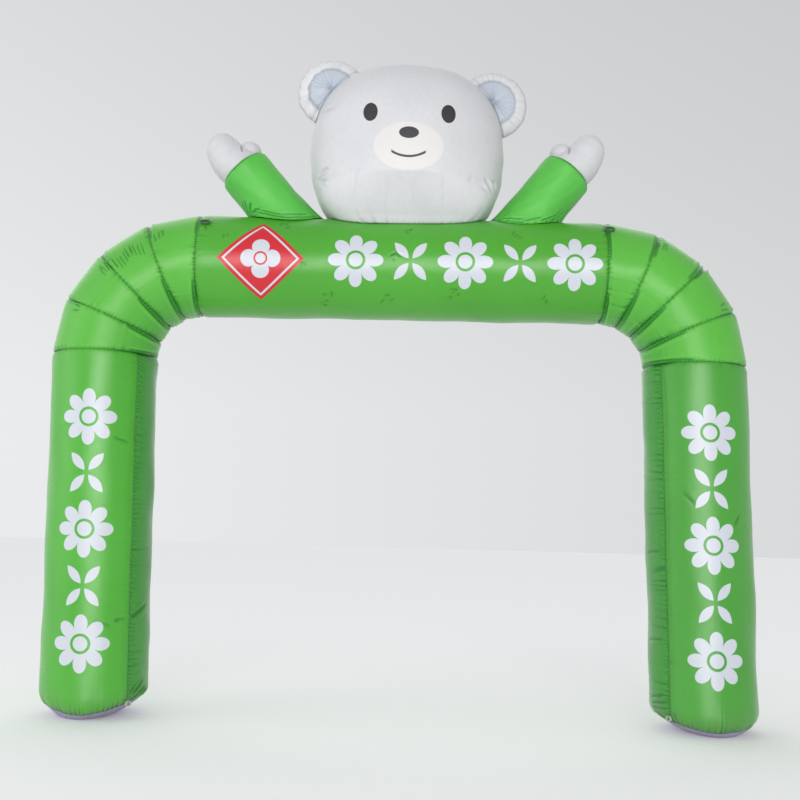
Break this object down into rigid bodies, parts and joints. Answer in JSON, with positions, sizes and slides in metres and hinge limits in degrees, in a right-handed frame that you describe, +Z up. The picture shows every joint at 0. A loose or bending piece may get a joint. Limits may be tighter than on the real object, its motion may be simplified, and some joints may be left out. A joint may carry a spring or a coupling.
{
  "type": "inflatable arch",
  "caption": "Blown-up green nylon entrance arch: a fat round tube bent into two legs and a beam, with a white animal head and raised mitten arms on top.",
  "frame": {"origin": "on the ground, at the middle of the arch's footprint, in the walkway half way between the legs", "axes": "+X across the walkway from the left leg to the right leg, +Y to the back, +Z up"},
  "size_m": [6.0726, 1.0932, 5.765],
  "materials": {
    "printed_nylon": "satin woven nylon with a printed flower pattern",
    "green_nylon": "satin woven nylon",
    "inner_nylon": "satin woven nylon",
    "sleeve_nylon": "satin woven nylon",
    "white_nylon": "satin woven nylon",
    "base_cloth": "matt coated cloth",
    "dark_webbing": "woven tape",
    "pale_webbing": "woven tape"
  },
  "bodies": {
    "root": {"base_panel_left": "base_cloth", "base_panel_right": "base_cloth", "beam": "printed_nylon", "ear_left": "white_nylon", "ear_right": "white_nylon", "elbow_left_gore_1": "green_nylon", "elbow_left_gore_2": "green_nylon", "elbow_left_gore_3": "green_nylon", "elbow_left_gore_4": "green_nylon", "elbow_right_gore_1": "green_nylon", "elbow_right_gore_2": "green_nylon", "elbow_right_gore_3": "green_nylon", "elbow_right_gore_4": "green_nylon", "hand_left": "white_nylon", "hand_right": "white_nylon", "head": "white_nylon", "leg_left_inner_strip": "inner_nylon", "leg_left_printed_panel": "printed_nylon", "leg_right_inner_strip": "inner_nylon", "leg_right_printed_panel": "printed_nylon", "sleeve_left": "sleeve_nylon", "sleeve_right": "sleeve_nylon", "tether_loop_foot_left": "pale_webbing", "tether_loop_foot_right": "pale_webbing", "tether_loop_top_left": "dark_webbing", "tether_loop_top_right": "dark_webbing"}
  },
  "joints": []
}
